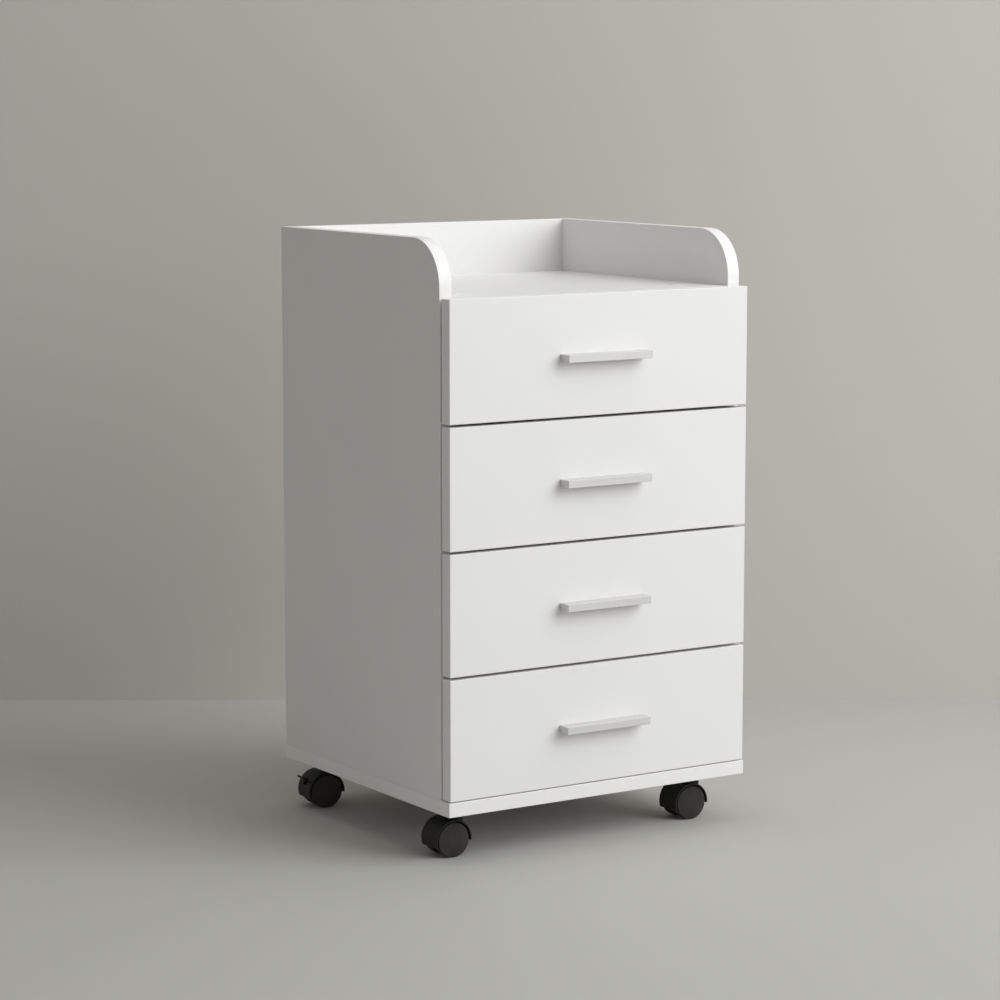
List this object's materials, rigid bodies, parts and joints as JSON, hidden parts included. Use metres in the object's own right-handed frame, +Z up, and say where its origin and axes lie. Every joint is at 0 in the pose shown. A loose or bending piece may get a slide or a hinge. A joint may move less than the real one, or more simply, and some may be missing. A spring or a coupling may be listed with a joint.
{
  "type": "rolling pedestal cabinet",
  "caption": "White mobile drawer pedestal with flat overlay fronts, ledge handles, a raised tray top between round-cornered wing sides, and black hooded twin-wheel casters.",
  "frame": {"origin": "on the floor, at the centre of the object's footprint box", "axes": "+Z up; -Y towards the drawer fronts and the user; +X to the right of a person facing the drawers"},
  "size_m": [0.4, 0.3796, 0.68],
  "materials": {
    "white_board": "white melamine-faced chipboard, fine matt texture",
    "drawer_board": "white foil-wrapped board, satin",
    "white_hardboard": "white-lacquered hardboard",
    "handle_metal": "satin light grey",
    "runner_plastic": "moulded, satin",
    "cap_plastic": "moulded, satin",
    "zinc_fittings": "die-cast zinc",
    "plated_screws": "bright zinc plated",
    "beech": "raw beech",
    "caster_steel": "zinc plated",
    "caster_nylon": "moulded black nylon",
    "wheel_nylon": "moulded charcoal nylon, fine grain"
  },
  "bodies": {
    "cabinet": {"base_board": "white_board", "side_panel_left": "white_board", "side_panel_right": "white_board", "top_board": "white_board", "gallery_back": "white_board", "back_panel": "white_hardboard", "drawer_runners": "runner_plastic", "cover_caps": "cap_plastic", "cam_fittings": "zinc_fittings", "confirmat_screws": "plated_screws", "chipboard_screws": "plated_screws", "wooden_dowels": "beech", "caster_plates": "caster_steel", "caster_kingpins": "caster_steel"},
    "drawer_1": {"drawer_1_front": "white_board", "drawer_1_side_left": "drawer_board", "drawer_1_side_right": "drawer_board", "drawer_1_back": "drawer_board", "drawer_1_bottom": "white_hardboard", "drawer_1_handle": "handle_metal", "drawer_1_fasteners": "plated_screws"},
    "drawer_2": {"drawer_2_front": "white_board", "drawer_2_side_left": "drawer_board", "drawer_2_side_right": "drawer_board", "drawer_2_back": "drawer_board", "drawer_2_bottom": "white_hardboard", "drawer_2_handle": "handle_metal", "drawer_2_fasteners": "plated_screws"},
    "drawer_3": {"drawer_3_front": "white_board", "drawer_3_side_left": "drawer_board", "drawer_3_side_right": "drawer_board", "drawer_3_back": "drawer_board", "drawer_3_bottom": "white_hardboard", "drawer_3_handle": "handle_metal", "drawer_3_fasteners": "plated_screws"},
    "drawer_4": {"drawer_4_front": "white_board", "drawer_4_side_left": "drawer_board", "drawer_4_side_right": "drawer_board", "drawer_4_back": "drawer_board", "drawer_4_bottom": "white_hardboard", "drawer_4_handle": "handle_metal", "drawer_4_fasteners": "plated_screws"},
    "caster_fl": {"caster_fl_hood": "caster_nylon", "caster_fl_axle": "caster_steel"},
    "caster_fl_wheel_front": {"caster_fl_wheel_front": "wheel_nylon"},
    "caster_fl_wheel_rear": {"caster_fl_wheel_rear": "wheel_nylon"},
    "caster_fr": {"caster_fr_hood": "caster_nylon", "caster_fr_axle": "caster_steel"},
    "caster_fr_wheel_front": {"caster_fr_wheel_front": "wheel_nylon"},
    "caster_fr_wheel_rear": {"caster_fr_wheel_rear": "wheel_nylon"},
    "caster_rl": {"caster_rl_hood": "caster_nylon", "caster_rl_axle": "caster_steel"},
    "caster_rl_wheel_front": {"caster_rl_wheel_front": "wheel_nylon"},
    "caster_rl_wheel_rear": {"caster_rl_wheel_rear": "wheel_nylon"},
    "caster_rl_brake": {"caster_rl_brake_lever": "caster_nylon"},
    "caster_rr": {"caster_rr_hood": "caster_nylon", "caster_rr_axle": "caster_steel"},
    "caster_rr_wheel_front": {"caster_rr_wheel_front": "wheel_nylon"},
    "caster_rr_wheel_rear": {"caster_rr_wheel_rear": "wheel_nylon"},
    "caster_rr_brake": {"caster_rr_brake_lever": "caster_nylon"}
  },
  "joints": [
    {"name": "drawer_1_slide", "type": "slide", "parent": "cabinet", "child": "drawer_1", "axis": [0, -1, 0], "range_m": [0, 0.23]},
    {"name": "drawer_2_slide", "type": "slide", "parent": "cabinet", "child": "drawer_2", "axis": [0, -1, 0], "range_m": [0, 0.23]},
    {"name": "drawer_3_slide", "type": "slide", "parent": "cabinet", "child": "drawer_3", "axis": [0, -1, 0], "range_m": [0, 0.23]},
    {"name": "drawer_4_slide", "type": "slide", "parent": "cabinet", "child": "drawer_4", "axis": [0, -1, 0], "range_m": [0, 0.23]},
    {"name": "caster_fl_swivel", "type": "hinge", "parent": "cabinet", "child": "caster_fl", "pos_m": [-0.162, -0.12175, 0.045], "axis": [0, 0, 1], "continuous": true},
    {"name": "caster_fl_wheel_front_spin", "type": "hinge", "parent": "caster_fl", "child": "caster_fl_wheel_front", "pos_m": [-0.1715, -0.12167, 0.0195], "axis": [-0.0087, -1, 0], "continuous": true},
    {"name": "caster_fl_wheel_rear_spin", "type": "hinge", "parent": "caster_fl", "child": "caster_fl_wheel_rear", "pos_m": [-0.1715, -0.12167, 0.0195], "axis": [-0.0087, -1, 0], "continuous": true},
    {"name": "caster_fr_swivel", "type": "hinge", "parent": "cabinet", "child": "caster_fr", "pos_m": [0.162, -0.12175, 0.045], "axis": [0, 0, 1], "continuous": true},
    {"name": "caster_fr_wheel_front_spin", "type": "hinge", "parent": "caster_fr", "child": "caster_fr_wheel_front", "pos_m": [0.1525, -0.12167, 0.0195], "axis": [-0.0087, -1, 0], "continuous": true},
    {"name": "caster_fr_wheel_rear_spin", "type": "hinge", "parent": "caster_fr", "child": "caster_fr_wheel_rear", "pos_m": [0.1525, -0.12167, 0.0195], "axis": [-0.0087, -1, 0], "continuous": true},
    {"name": "caster_rl_swivel", "type": "hinge", "parent": "cabinet", "child": "caster_rl", "pos_m": [-0.162, 0.15575, 0.045], "axis": [0, 0, 1], "continuous": true},
    {"name": "caster_rl_wheel_front_spin", "type": "hinge", "parent": "caster_rl", "child": "caster_rl_wheel_front", "pos_m": [-0.17146, 0.15658, 0.0195], "axis": [-0.0872, -0.9962, 0], "continuous": true},
    {"name": "caster_rl_wheel_rear_spin", "type": "hinge", "parent": "caster_rl", "child": "caster_rl_wheel_rear", "pos_m": [-0.17146, 0.15658, 0.0195], "axis": [-0.0872, -0.9962, 0], "continuous": true},
    {"name": "caster_rl_brake_press", "type": "hinge", "parent": "caster_rl", "child": "caster_rl_brake", "pos_m": [-0.17744, 0.1571, 0.0315], "axis": [-0.0872, -0.9962, 0], "range_deg": [0, 11.5]},
    {"name": "caster_rr_swivel", "type": "hinge", "parent": "cabinet", "child": "caster_rr", "pos_m": [0.162, 0.15575, 0.045], "axis": [0, 0, 1], "continuous": true},
    {"name": "caster_rr_wheel_front_spin", "type": "hinge", "parent": "caster_rr", "child": "caster_rr_wheel_front", "pos_m": [0.15254, 0.15658, 0.0195], "axis": [-0.0872, -0.9962, 0], "continuous": true},
    {"name": "caster_rr_wheel_rear_spin", "type": "hinge", "parent": "caster_rr", "child": "caster_rr_wheel_rear", "pos_m": [0.15254, 0.15658, 0.0195], "axis": [-0.0872, -0.9962, 0], "continuous": true},
    {"name": "caster_rr_brake_press", "type": "hinge", "parent": "caster_rr", "child": "caster_rr_brake", "pos_m": [0.14656, 0.1571, 0.0315], "axis": [-0.0872, -0.9962, 0], "range_deg": [0, 11.5]}
  ]
}
